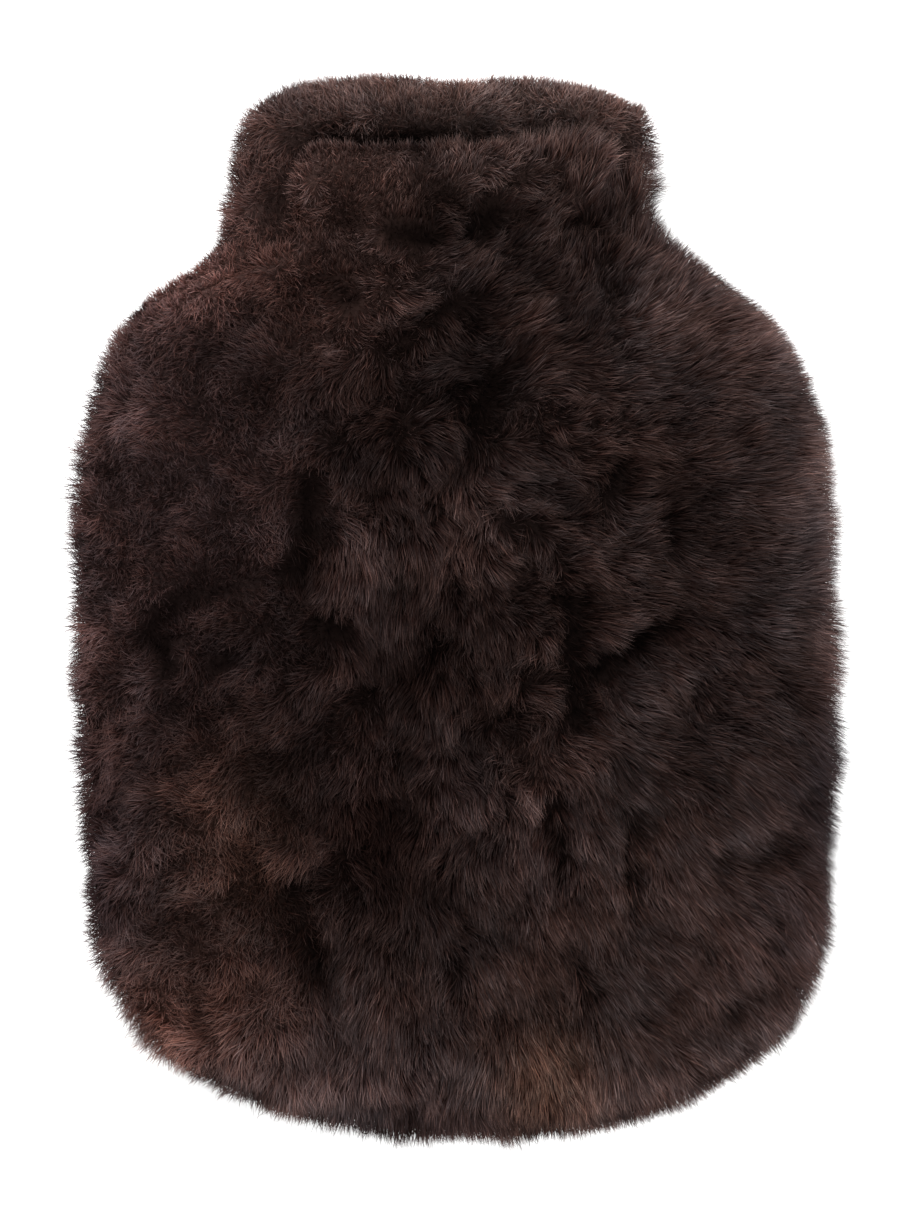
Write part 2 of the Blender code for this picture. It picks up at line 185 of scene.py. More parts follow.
room = bpy.data.worlds.new("room")
room.use_nodes = True
glow = room.node_tree.nodes["Background"].inputs
glow["Color"].default_value, glow["Strength"].default_value = WHITE, ROOM_LIGHT
scene.world = room
for box in SOFT_BOXES:
    light = bpy.data.lights.new(box["name"], "AREA")
    light.size, light.energy = box["size"], box["watts"]
    lamp = bpy.data.objects.new(box["name"], light)
    lamp.location = box["place"]
    lamp.rotation_euler = (-Vector(box["place"])).to_track_quat("-Z", "Y").to_euler()
    scene.collection.objects.link(lamp)

camera = bpy.data.cameras.new("camera")
camera.sensor_fit = "VERTICAL"
camera.sensor_height = FILM_HEIGHT
camera.lens = FILM_HEIGHT * EYE_HEIGHT / (PHOTO_SIZE[1] * MM_PER_PIXEL * MM)
camera.clip_end = EYE_REACH
eye = bpy.data.objects.new("camera", camera)
eye.location = (*FRAME_MIDDLE, EYE_LEVEL + EYE_HEIGHT)
scene.collection.objects.link(eye)
scene.camera = eye
scene.view_settings.view_transform = "Standard"


# ---------------------------------------------------------------------------
# Hides. The leather side of each pelt, soft suede turned inwards, cut to the
# pelt's outline and sewn to the other one round the rim. They line the hollow.
# ---------------------------------------------------------------------------
JOINED = 0.01 * MM
JUST_OFF = 0.05                # mm, from a face to where it is looked out from
HOLLOW_REACH = 45 * MM         # a face of the hollow sees the other pelt within this
SEAM_REACH = 1 * MM            # and a face of the seam within this
HIDE_BEHIND, HIDE_THICK = 0.2 * MM, 1.6 * MM
HIDE_TOP = 147 * MM            # it is trimmed below the mouth
SUEDE_DARK = (0.060, 0.034, 0.024, 1)
SUEDE_LIGHT = (0.115, 0.070, 0.052, 1)
SUEDE_ROUGH = 0.9
SUEDE_NAP = {"Scale": 900.0, "Detail": 4.0}
SUEDE_RUBBED = {"Scale": 30.0, "Detail": 3.0, "Distortion": 0.8}
NAP_SHARE = 0.45               # of the nap in the suede's unevenness, the rest being rubbed
SUEDE_RELIEF = {"Strength": 0.5, "Distance": 0.3 * MM}
SUEDE_SHEEN = {"Sheen Weight": 0.1, "Sheen Tint": (0.8, 0.6, 0.5, 1)}


def merged(node):
    """A copy of a solid's mesh with its loose triangles joined."""
    bm = bmesh.new()
    bm.from_mesh(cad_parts[node].data)
    bmesh.ops.remove_doubles(bm, verts=bm.verts, dist=JOINED)
    bm.normal_update()
    return bm


def side_of(face):
    """Whether a face bears pile, lies in the hollow or is sewn to the other pelt."""
    start = face.calc_center_median() + face.normal * JUST_OFF * MM
    hits = [wall.ray_cast(start, face.normal, HOLLOW_REACH)[3] for wall in walls.values()]
    near = min((h for h in hits if h is not None), default=None)
    if near is None:
        return "pile"
    return "seam" if near < SEAM_REACH else "hollow"


def sorted_sides(bm):
    """The side of each face, where only the largest patch that looks inwards is the hollow."""
    sides = {face: side_of(face) for face in bm.faces}
    left = {face for face, side in sides.items() if side == "hollow"}
    patches = []
    while left:
        patch, edge = set(), [left.pop()]
        while edge:
            face = edge.pop()
            patch.add(face)
            beside = {other for e in face.edges for other in e.link_faces} & left
            left -= beside
            edge += beside
        patches.append(patch)
    hollow = max(patches, key=len)
    return [
        "pile" if side == "hollow" and face not in hollow else side
        for face, side in sides.items()
    ]


def show(name, mesh, finish=None):
    """Puts a finished mesh in the scene as one piece."""
    if finish:
        mesh.materials.clear()
        mesh.materials.append(finish)
    mesh.name = name
    piece = bpy.data.objects.new(name, mesh)
    scene.collection.objects.link(piece)
    return piece


def applied(piece):
    """The piece's mesh with its modifiers in it, as a plain mesh."""
    graph = bpy.context.evaluated_depsgraph_get()
    shape = bpy.data.meshes.new_from_object(piece.evaluated_get(graph))
    piece.modifiers.clear()
    return shape


def hide_sheet(node, name, finish):
    """The hollow's wall of one pelt as a closed sheet, just behind its surface."""
    bm = pelts[node].copy()
    bm.faces.ensure_lookup_table()
    rest = [
        face for face, side in zip(bm.faces, sides[node])
        if side != "hollow" or face.calc_center_median().y > HIDE_TOP
    ]
    bmesh.ops.delete(bm, geom=rest, context="FACES")
    bm.normal_update()
    for vert in bm.verts:
        vert.co -= vert.normal * HIDE_BEHIND
    mesh = bpy.data.meshes.new(name)
    bm.to_mesh(mesh)
    bm.free()
    mesh.shade_smooth()
    piece = show(name, mesh, finish)
    thick = piece.modifiers.new("thick", "SOLIDIFY")
    thick.thickness, thick.offset = HIDE_THICK, -1
    piece.data = applied(piece)
    piece.data.name = name
    return piece


def fastened(slot, *pieces):
    """Makes pieces move with the cover. The slot is not used."""
    for piece in pieces:
        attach(piece, "root")


pelts = {name: merged(name) for name in ("front_panel", "back_panel")}
walls = {name: BVHTree.FromBMesh(bm) for name, bm in pelts.items()}
sides = {name: sorted_sides(bm) for name, bm in pelts.items()}

suede, nodes, shader = plain_finish("suede", SUEDE_DARK, SUEDE_ROUGH)
place = nodes.out("ShaderNodeTexCoord", name="Object")
nap = nodes.out("ShaderNodeTexNoise", {}, {"Vector": place, **SUEDE_NAP})
rubbed = nodes.out("ShaderNodeTexNoise", {}, {"Vector": place, **SUEDE_RUBBED})
leather = nodes.mix(nap * NAP_SHARE + rubbed * (1 - NAP_SHARE), SUEDE_DARK, SUEDE_LIGHT)
relief = nodes.out("ShaderNodeBump", {}, {"Height": nap, **SUEDE_RELIEF})
nodes.feed(shader, {"Base Color": leather, "Normal": relief, **SUEDE_SHEEN})

front_hide = hide_sheet("front_panel", "front_hide", suede)
back_hide = hide_sheet("back_panel", "back_hide", suede)
fastened("hide", front_hide, back_hide)


# ---------------------------------------------------------------------------
# Underfur. The dense soft wool at the foot of the hair, one closed shell for
# each pelt, drawn in from the solid so that the longer hair ends where it does.
# ---------------------------------------------------------------------------
# How far in from the solid it lies, in mm, by slope from face down (-1) to face up (1)
PILE_INSET = ((-1.0, 1.2), (-0.6, 1.0), (0.0, -3.8), (0.4, 0.5), (1.0, 5.0))
HIDE_INSET = 2.0               # mm, behind the hide on the inner side
INSET_EVENING = 3              # rounds in which neighbouring insets are evened out
LARGEST_INSET = 0.36           # share of the pelt's thickness there
WALL_CLEAR, WALL_REACH = 0.2, 0.06     # mm and m, between which that is measured

# Past the mouth the wool is raised by so many mm to meet the lip, and by what share across
FLAP_FROM, FLAP_LIFT = 152.0, 9.0
FLAP_SPAN = ((-64, 0.2), (-44, 0.9), (-20, 1.0), (34, 1.0), (64, 0.4))

# Where the fur is short, across the cover and along it, and how much further out its wool lies
SHORT_LEFT = ((-58, 1.0), (-28, 0.0))
SHORT_TOP = ((140, 0.0), (162, 1.0))
SHORT_LIFT = 4.0

# Which share of the full density of hair a face bears, by slope and along the
# top edge, the slopes that count as the rim, and where the lip begins
PILE_DENSITY = ((-0.95, 0.35), (-0.5, 0.7), (-0.2, 1.0))
TOP_DENSITY = ((158, 1.0), (168, 1.5))
RIM_UNDER, LIP_AFTER = 0.5, 140.0

# Hair of the rim, and where, over how wide a reach and by how much it is longer or
# shorter, to follow the outline, all in mm
RIM_PILE = 10.5
RIM_REACHES = (
    ((-95, 112), 16, -12.0),
    ((92, 110), 20, -4.5),
    ((115, 75), 24, -3.5),
    ((-4, -176), 20, -1.5),
    ((46, -174), 24, -4.5),
    ((-50, -174), 24, -5.5),
    ((-114, -142), 28, 7.0),
    ((98, -160), 20, -6.5),
    ((104, -155), 9, 4.0),
    ((50, 176), 16, -5.5),
    ((0, 178), 40, -2.6),
    ((-128, 0), 120, 3.2),
    ((130, 0), 100, 1.6),
    ((-82, 150), 26, 1.5),
    ((72, 148), 22, 2.5),
    ((64, 173), 12, 3.5),
    ((-127, -65), 22, 2.5),
    ((-124, 58), 18, 2.0),
)
RIM_LEAST = 4.5                # where it would be shorter, the wool is drawn in instead

# Lines where the pile parts and falls to both sides: from and to, how far that
# reaches, in mm, and how strong it is
PARTINGS = (
    ((44, -21), (70, -3), 5.0, 1.0),
    ((38, 4), (40, -36), 5.5, 0.9),
    ((-48, 42), (-52, 14), 6.0, 1.15),
    ((33, -64), (36, -84), 4.5, 0.75),
    ((-55, -94), (-45, -120), 7.0, 0.6),
    ((-40, 110), (-35, 103), 5.5, 1.1),
    ((-21, 126), (-9, 124), 5.5, 1.4),
    ((5, 123), (13, 133), 5.5, 1.2),
    ((-104, -8), (-92, 4), 6.0, 0.8),
    ((5, 57), (15, 79), 7.0, 0.6),
    ((-70, -60), (-30, -30), 7.0, 0.35),
    ((-60, 122), (-53, 158), 4.5, 0.4),
    ((58, 126), (54, 158), 4.5, 0.5),
    ((36, 124), (46, 129), 5.0, 0.6),
    ((-8, 98), (6, 103), 5.0, 0.6),
    ((57, -66), (58, -96), 4.5, 0.6),
    ((52, 48), (52, 38), 6.0, 0.8),
    ((70, 31), (71, 23), 5.0, 0.7),
    ((18, 29), (26, 26), 4.5, 0.7),
    ((-44, -4), (-38, -7), 5.5, 1.2),
    ((-98, -12), (-96, -21), 5.5, 1.1),
    ((-73, -16), (-82, -20), 5.0, 0.8),
    ((-55, 12), (-86, 5), 4.5, 0.6),
    ((40, -119), (44, -127), 6.0, 0.5),
    ((0, -117), (1, -124), 5.0, 0.6),
    ((-87, 71), (-85, 50), 5.0, 0.35),
)
PARTING_DEEP, PARTING_BARE = 3.5, 0.85   # mm deeper, and barer by this share,
PARTING_NARROWER = 1.55                  # where it is this much narrower than its reach
PARTING_SPOTS, PARTING_UNEVEN = 5.0, 0.5  # mm, size of its deeper spots, and their share

UNDERFUR_DARK = (0.0036, 0.0024, 0.0021, 1)
UNDERFUR_LIGHT = (0.0170, 0.0104, 0.0092, 1)
UNDERFUR_ROUGH = 0.8
UNDERFUR_LOCKS = {"Scale": 260.0, "Detail": 3.0, "Distortion": 1.2}
UNDERFUR_HAIRS = {"Scale": 1500.0, "Detail": 2.0}
HAIRS_DRAWN = (1.0, 1.0, 0.4)            # the fine pattern is drawn out upwards
LOCKS_SHARE, LOCKS_RELIEF = 0.6, 0.7     # of the locks, the rest being fine hairs
UNDERFUR_RELIEF = {"Strength": 0.8, "Distance": 1.2 * MM}
UNTINTED = 0.1                           # share of the colour that takes no tint or painted light


def clamped(number, low=0.0, high=1.0):
    """A number kept between two limits."""
    return min(max(number, low), high)


def read(table, at):
    """Value of a table of (place, value) pairs at a place between them."""
    return float(np.interp(at, [row[0] for row in table], [row[1] for row in table]))


def shortness(spot):
    """Share of the short fur at a spot in mm."""
    return max(read(SHORT_LEFT, spot.x), read(SHORT_TOP, spot.y))


def beside(start, end, reach, spot):
    """Which way a spot lies from a parting's line, and how many of its reaches away."""
    start = Vector(start)
    line = Vector(end) - start
    here = Vector((spot.x, spot.y))
    share = clamped((here - start).dot(line) / line.length_squared)
    off = here - (start + line * share)
    return off.normalized(), off.length / reach


def parted(spot):
    """How far a spot lies in the partings, from 0 to about 1."""
    deep = 0.0
    for start, end, reach, strength in PARTINGS:
        far = beside(start, end, reach, spot)[1] * PARTING_NARROWER
        deep = max(deep, strength * math.exp(-far * far))
    spots = noise.noise(Vector((spot.x, spot.y, 0)) / PARTING_SPOTS)
    return deep * (1 + PARTING_UNEVEN * spots)


def rim_pile(spot):
    """Length of the rim's hair at a spot, in mm."""
    pile = RIM_PILE - SHORT_LIFT * shortness(spot)
    for at, reach, by in RIM_REACHES:
        far = math.hypot(spot.x - at[0], spot.y - at[1]) / reach
        pile += by * math.exp(-far * far)
    return pile


def underfur_shell(node, name, finish):
    """Closed shell inside one solid, with the share of hair that its faces bear, by part."""
    bm = pelts[node]
    for part in ("bears", "body", "rim", "lip"):
        bm.faces.layers.float.new(part)
    insets, ways = {}, {}
    bearing = dict(zip(bm.faces, sides[node]))
    for vert in bm.verts:
        free = [face for face in vert.link_faces if bearing[face] != "seam"]
        if not free:
            continue
        outer = sum(bearing[face] == "pile" for face in free) / len(free)
        way = sum((face.normal * face.calc_area() for face in free), Vector()).normalized()
        inset = outer * read(PILE_INSET, way.z) + (1 - outer) * HIDE_INSET
        inset -= outer * SHORT_LIFT * shortness(vert.co / MM) * (1 - abs(way.z))
        inset += outer * max(RIM_LEAST - rim_pile(vert.co / MM), 0) * (1 - abs(way.z))
        if vert.co.y > FLAP_FROM * MM:
            inset -= outer * FLAP_LIFT * max(way.z, 0) * read(FLAP_SPAN, vert.co.x / MM)
        inset += outer * PARTING_DEEP * parted(vert.co / MM) * max(way.z, 0)
        back = walls[node].ray_cast(vert.co - way * WALL_CLEAR * MM, -way, WALL_REACH)[3]
        if back is not None:
            inset = min(inset, LARGEST_INSET * back / MM)
        ways[vert], insets[vert] = way, inset
    for _ in range(INSET_EVENING):
        insets = {
            vert: (inset + float(np.mean([
                insets.get(edge.other_vert(vert), inset) for edge in vert.link_edges
            ]))) / 2
            for vert, inset in insets.items()
        }
    layers = bm.faces.layers.float
    for face, side in bearing.items():
        middle = face.calc_center_median() / MM
        dense = read(PILE_DENSITY, face.normal.z) * read(TOP_DENSITY, middle.y)
        if face.normal.z > 0:
            dense *= 1 - PARTING_BARE * min(parted(middle), 1)
        part = "rim" if abs(face.normal.z) < RIM_UNDER else "body"
        if node == "front_panel" and middle.y > LIP_AFTER:
            part = "lip"
        if side == "pile":
            face[layers["bears"]] = face[layers[part]] = dense
    moves = {vert.index: ways[vert] * (insets[vert] * MM) for vert in ways}
    shell = bm.copy()
    shell.verts.ensure_lookup_table()
    for index, move in moves.items():
        shell.verts[index].co -= move
    mesh = bpy.data.meshes.new(name)
    shell.to_mesh(mesh)
    shell.free()
    mesh.shade_smooth()
    piece = show(name, mesh, finish)
    finer = piece.modifiers.new("finer", "SUBSURF")
    finer.levels = finer.render_levels = 1
    piece.data = applied(piece)
    piece.data.name = name
    return piece


underfur, nodes, shader = plain_finish("underfur", UNDERFUR_DARK, UNDERFUR_ROUGH)
place = nodes.out("ShaderNodeTexCoord", name="Object")
locks = nodes.out("ShaderNodeTexNoise", {}, {"Vector": place, **UNDERFUR_LOCKS})
hairs = nodes.out("ShaderNodeTexNoise", {}, {"Vector": place * HAIRS_DRAWN, **UNDERFUR_HAIRS})
tint = nodes.out("ShaderNodeAttribute", {"attribute_name": "tint"}, {}, "Vector")
wool = locks * LOCKS_SHARE + hairs * (1 - LOCKS_SHARE)
# the underfur takes the same tint, with its painted light and shade
wool = nodes.mix(wool, UNDERFUR_DARK, UNDERFUR_LIGHT) * (tint * (1 - UNTINTED) + UNTINTED)
height = locks * LOCKS_RELIEF + hairs * (1 - LOCKS_RELIEF)
relief = nodes.out("ShaderNodeBump", {}, {"Height": height, **UNDERFUR_RELIEF})
nodes.feed(shader, {"Base Color": wool, "Normal": relief, "Specular IOR Level": 0.0})

front_underfur = underfur_shell("front_panel", "front_underfur", underfur)
back_underfur = underfur_shell("back_panel", "back_underfur", underfur)
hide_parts("front_panel")
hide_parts("back_panel")
fastened("front_fur", front_underfur)
fastened("back_fur", back_underfur)


# ---------------------------------------------------------------------------
# Fur of the front pelt. Long soft hair, combed outwards and down on the right
# and short and upright on the left, in four pieces from the foot to the neck.
# ---------------------------------------------------------------------------
# How the hair lies: where, in mm; which way it is combed; how flat it lies, from 0
# to 1; its length in mm; how uneven it is; how far it is drawn into locks; and how
# far from there, in mm, the row still counts
COMB = (
    ((15, 147), (0.0, 1.0), 0.31, 9, 0.4, 0.5, 16),
    ((40, 148), (0.4, 0.92), 0.85, 12, 0.3, 0.6, 14),
    ((17, 98), (0.9, 0.45), 0.7, 11, 0.3, 0.8, 24),
    ((57, 113), (0.42, 0.9), 0.7, 11, 0.3, 0.8, 18),
    ((84, 84), (0.94, 0.34), 0.75, 12, 0.15, 0.6, 26),
    ((105, 74), (1.0, 0.1), 0.75, 10, 0.15, 0.6, 22),
    ((101, 24), (1.0, 0.0), 0.79, 12, 0.15, 0.6, 34),
    ((96, -37), (0.85, -0.5), 0.79, 13, 0.15, 0.6, 34),
    ((62, -28), (0.7, -0.7), 0.75, 12, 0.3, 0.8, 22),
    ((83, -118), (0.68, -0.73), 0.79, 13, 0.15, 0.6, 36),
    ((35, -98), (0.35, -0.93), 0.75, 13, 0.18, 0.7, 28),
    ((8, -51), (0.1, -1.0), 0.7, 12, 0.4, 0.7, 26),
    ((-22, 22), (0.05, -1.0), 0.79, 14, 0.3, 1.0, 24),
    ((-32, -150), (0.0, -1.0), 0.75, 13, 0.18, 0.7, 30),
    ((25, -158), (0.12, -1.0), 0.75, 12, 0.18, 0.7, 26),
    ((-103, -132), (-0.7, -0.7), 0.3, 7, 0.45, 0.45, 30),
    ((-110, 17), (-1.0, -0.15), 0.2, 6, 0.45, 0.45, 40),
    ((-86, 105), (-0.8, 0.35), 0.15, 6, 0.4, 0.45, 30),
    ((-66, 145), (-0.9, 0.4), 0.15, 6, 0.4, 0.45, 22),
    ((-34, 139), (0.1, 0.7), 0.22, 6, 0.3, 0.45, 18),
    ((-52, -47), (-0.35, -0.9), 0.53, 9, 0.45, 0.4, 28),
    ((-86, -64), (-0.7, -0.6), 0.44, 8, 0.45, 0.45, 28),
    ((-52, 64), (-0.7, -0.5), 0.35, 7, 0.45, 0.45, 28),
    ((35, 54), (0.95, -0.1), 0.66, 11, 0.4, 0.7, 28),
    ((-8, 71), (0.3, -0.5), 0.53, 10, 0.6, 0.6, 22),
    ((0, 170), (0.0, 1.0), 0.22, 8, 0.4, 0.45, 24),
    ((50, 166), (0.3, 1.0), 0.44, 8, 0.4, 0.4, 20),
    ((-50, 166), (-0.3, 1.0), 0.22, 7, 0.4, 0.45, 20),
)

# The plain comb, far from every row: its weight, how it spreads outwards and down,
# how flat, long and uneven it is
COMB_FLOOR = 0.02
PLAIN_SPREAD, PLAIN_DOWN = 130, -0.35
PLAIN_FLAT, PLAIN_PILE, PLAIN_WILD = 0.5, 12.0, 0.5
FLATTEST = 0.95                # how flat any hair lies at most

# On the face the hair gets shorter up to the lip, from these places on, at the left
LIP_FROM, LIP_TO = 138.0, 150.0
LIP_SHORTER = ((15, 0.35), (32, 0.0))

# Past the mouth it falls to both sides of a crest: where that lies, over how many
# mm, how far it leans, and its length, unevenness and locks
FLAP_CREST, FLAP_HALF = 160.0, 18.0
FLAP_SPREAD, FLAP_LEAN = 150, 0.5
FLAP_HAIR = (7.0, 0.3, 0.2)

# Round the rim it reaches out, from this slope on and how suddenly, and is calmer
RIM_SLOPE, RIM_SUDDEN, RIM_CALMER = 0.75, 2, 0.6
UNDER_PILE = ((-0.8, 6.0), (-0.2, 30.0))  # mm at most by slope, short where it is lain on

# Hair in a parting is painted darker, painted shade as in a groove, and is also shorter
PARTING_PAINTED_SHADE, PARTING_SHORT = 0.85, 0.4   # darker and shorter by these shares
PARTING_ENDS = 2.5                        # reaches from its line

# Painted light: the fur is painted paler round the rim, by slope, where light comes round its
# sides, and darkest on the crown
RIM_PAINTED_LIGHT = ((-0.5, 1.2), (0.0, 1.42), (0.5, 1.32), (0.85, 1.05), (1.0, 0.78))

# Paler, darker and warmer places, partly the fur's own colour and partly painted light and
# shade, such as painted shadow along the mouth's groove and painted light on the flap past it:
# where and how large, in mm, and what red, green and blue are multiplied by in the middle
TINTS_AND_PAINTED_LIGHT = (
    ((-94, -130), (30, 22), (2.2, 1.85, 1.65)),
    ((30, -152), (14, 17), (2.1, 1.8, 1.45)),
    ((-73, -73), (20, 28), (2.35, 2.05, 1.75)),
    ((-122, -90), (14, 46), (0.5, 0.5, 0.55)),
    ((-90, 109), (18, 14), (2.5, 2.2, 2.1)),
    ((-112, -20), (14, 28), (1.35, 1.35, 1.35)),
    ((-87, 10), (12, 14), (1.35, 1.35, 1.35)),
    ((26, 140), (30, 10), (1.9, 1.85, 1.8)),
    ((122, 45), (11, 12), (2, 2, 2)),
    ((90, 32), (9, 9), (1.45, 1.45, 1.45)),
    ((126, -8), (9, 32), (1.45, 1.45, 1.45)),
    ((121, -58), (18, 42), (0.42, 0.45, 0.5)),
    ((-30, -152), (34, 20), (1.35, 1.4, 1.45)),
    ((-5, -165), (28, 10), (0.32, 0.34, 0.37)),
    # painted light on the flap past the mouth, which lies low in the lip's shade
    ((6, 172), (50, 12), (4.2, 4.5, 4.5)),
    # painted shadow along the mouth's groove under the lip's edge
    ((-18, 158.5), (30, 4.5), (0.12, 0.12, 0.12)),
    ((-80, 60), (50, 90), (1.17, 1.17, 1.19)),
    ((-74, 142), (13, 30), (1.4, 1.4, 1.4)),
    ((-38, 118), (22, 32), (2.9, 2.6, 2.45)),
    ((22, 108), (16, 12), (0.5, 0.5, 0.5)),
    ((-3, 76), (15, 18), (0.34, 0.34, 0.34)),
    ((-32, 54), (13, 16), (0.42, 0.42, 0.42)),
    ((-56, 38), (16, 17), (1.9, 1.85, 1.85)),
    ((-17, -18), (20, 22), (0.3, 0.27, 0.26)),
    ((-34, -32), (10, 10), (2.2, 2.2, 2.2)),
    ((4, -29), (10, 9), (0.65, 0.65, 0.65)),
    ((-16, 15), (9, 7), (0.65, 0.65, 0.65)),
    ((-16, -14), (8, 8), (0.7, 0.7, 0.7)),
    ((-53, -29), (9, 8), (0.6, 0.6, 0.6)),
    ((-42, 2), (12, 7), (1.7, 1.7, 1.7)),
    ((-27, -73), (18, 32), (0.48, 0.41, 0.39)),
    ((-55, -134), (18, 12), (1.7, 1.7, 1.7)),
    ((56, 98), (20, 28), (2, 2, 2)),
    ((100, 86), (16, 12), (1.45, 1.45, 1.45)),
    ((80, -12), (20, 14), (1.7, 1.7, 1.7)),
    ((95, 0), (50, 120), (0.78, 0.82, 0.85)),
    ((-10, -20), (50, 110), (0.9, 0.86, 0.85)),
    ((66, -105), (26, 45), (1.45, 1.45, 1.45)),
    ((108, -100), (18, 40), (0.78, 0.78, 0.8)),
    ((28, -76), (14, 26), (2, 1.95, 1.95)),
    ((1, -59), (9, 10), (2.2, 2.1, 2.1)),
    ((0, -165), (80, 14), (1.3, 1.3, 1.3)),
    ((-85, 62), (13, 13), (2.3, 2.3, 2.3)),
    ((3, 33), (13, 9), (2.2, 2.2, 2.2)),
    ((5, 50), (18, 8), (0.6, 0.6, 0.6)),
    ((54, 47), (11, 9), (0.65, 0.65, 0.65)),
    ((58, 63), (14, 10), (1.9, 1.9, 1.9)),
    ((21, 64), (11, 10), (2.1, 2.1, 2.1)),
    ((-35, 31), (9, 12), (1.8, 1.8, 1.8)),
    ((-66, -12), (15, 14), (0.6, 0.6, 0.6)),
    ((55, 126), (22, 13), (0.42, 0.42, 0.42)),
    ((37, 89), (13, 14), (0.42, 0.42, 0.42)),
    ((-32, 80), (10, 10), (0.6, 0.6, 0.6)),
    ((-66, 82), (12, 20), (0.65, 0.65, 0.65)),
    ((49, -74), (7, 20), (0.6, 0.6, 0.6)),
    ((107, -92), (9, 9), (1.6, 1.6, 1.6)),
    ((54, -31), (9, 8), (1.4, 1.4, 1.4)),
    ((105, -28), (12, 26), (0.75, 0.75, 0.75)),
    ((82, 3), (20, 8), (0.7, 0.7, 0.7)),
    ((-9, -92), (15, 13), (0.46, 0.46, 0.46)),
    ((-42, -68), (13, 10), (0.6, 0.6, 0.6)),
    ((-68, -152), (10, 9), (0.65, 0.65, 0.65)),
    ((-102, -86), (10, 13), (1.45, 1.45, 1.45)),
    ((-6, -122), (14, 9), (1.6, 1.6, 1.6)),
    ((-110, 10), (60, 150), (1.1, 1.04, 1.1)),
)

LUMPS = (4.5, 12.0)            # mm, sizes of the small lumps of the short fur
# Lumps get longer hair and painted light on their tops, and painted shade between them, by these
# shares
LUMPS_LONGER, LUMPS_PAINTED_LIGHT = 0.3, 0.55
LIFT_ROUNDS = 30               # how wide the ground is that a point is set against
LIFT_FULL = 2.5 * MM           # how far the largest lumps stand over it
# Raised points get longer hair and painted light, and low points painted shade, by these shares
LIFT_LONGER, LIFT_PAINTED_LIGHT = 0.15, 0.45

# One hair, a flat blade: where it bends, of its length, and how wide its root is
# and how its width varies, of its width at the bend
BEND_AT, ROOT_WIDTH, WIDTHS = 0.4, 0.8, (0.55, 1.3)

# How upright its lower and its upper part are, how much less so where it is combed
# flat, and how far they follow the comb
LOWER_PART, UPPER_PART = (1.15, 0.35, 0.55), (1.1, 0.9, 1.25)
STEEPER = (1.0, 1.0, 1.8)      # hair stands nearer to upright than its ground

# How hair strays from the comb: by patterns and their strength, with its lock,
# and alone, more where it is curly
WIDE_SWIRL, WIDE_STRAY = {"Scale": 55.0, "Detail": 1.0}, 6.5
FINE_SWIRL, FINE_STRAY = {"Scale": 170.0, "Detail": 1.0}, 3.5
LOCK_STRAY, OWN_STRAY, CURL_STRAY = 0.55, 0.35, 0.35
MIDDLE_FRIZZ, TIP_FRIZZ, CURL_FRIZZ = 0.5, 0.8, 0.7

# Locks: at most so many per square metre, how far their borders wander, of their
# spacing, how long they are, and how far they draw a hair's bend, set against its tip
LOCKS_AT_MOST, BORDER_WANDER = 3e5, 0.25
LOCK_LENGTHS, BEND_DRAW = (0.82, 1.16), 0.35

# Hair is shorter by chance by up to this, more where it is uneven
SHORTER, SHORTER_EVEN, SHORTER_WILD = 0.42, 0.4, 1.2

# Ripples across the pile: their pattern, how sharp they are, and the share of its
# length that hair and locks have at their foot and gain at their crest
RIPPLES, RIPPLES_SHARP = {"Scale": 80.0, "Detail": 1.5}, 2.2
RIPPLED_HAIR, RIPPLED_LOCK = (0.8, 0.36), (0.72, 0.5)
FACES_UP, FACES_ASTRAY = 1.0, 0.8   # mm, how far a blade faces up and by chance

# The root's darkness is partly the hair's own colour and partly painted shade deep in the pile;
# the tip's paleness is partly painted light
FUR_ROOT = (0.0057, 0.0035, 0.0026, 1)
FUR_MIDDLE = (0.0132, 0.0071, 0.0062, 1)
FUR_TIP = (0.0508, 0.0350, 0.0312, 1)
FUR_STOPS = (0.05, 0.5, 1.0)   # where along a hair those three are
RED_CAST, MAUVE_CAST = (1.16, 0.94, 0.87, 1), (0.90, 1.01, 1.11, 1)
CASTS, CASTS_SHARP = {"Scale": 30.0, "Detail": 3.0, "Roughness": 0.7}, 2.2
OWN_CAST, LEAST_CAST, CAST_STRIDE = 0.8, 0.1, 17.0

# How light hair is: in all; by hair, and how much less where it is curly; by lock,
# ripple and cloud, at 0 and how much more at 1; and the palest hairs, their share
# upwards, how much paler they are, and how much less where they are curly
FUR_LIGHT, BY_HAIR, BY_HAIR_CURLY = 0.96, 0.56, 0.28
# The ripples' share is painted light on their crests, where the hair is longer, and painted
# shade in their troughs
BY_LOCK, BY_RIPPLE_PAINTED_LIGHT, BY_CLOUD = (0.78, 0.44), (0.72, 0.58), (0.75, 0.5)
# The palest hairs are paler guard hairs, their tips partly painted glints
PALEST_FROM, PALEST, PALEST_CURLY = 0.86, 1.4, 0.9
CLOUDS = {"Scale": 38.0, "Detail": 2.0}
FUR_ROUGH, ROUGHER = 0.5, 0.2
FUR_GLEAM = {"Specular IOR Level": 0.02, "Specular Tint": (1.0, 0.7, 0.62, 1)}

FRONT_FUR = {
    "Part": "body", "Per Square Metre": 2.5e6, "Lock Spacing": 3.4 * MM, "Lowest": 1 * MM,
    "Width": 0.24 * MM, "Draw": 0.45, "Frizz": 0.9 * MM,
}
FRONT_ZONES = (                # from and to so many mm up the cover
    ("front_fur_foot", -400, -92),
    ("front_fur_belly", -92, -25),
    ("front_fur_chest", -25, 45),
    ("front_fur_neck", 45, 400),
)


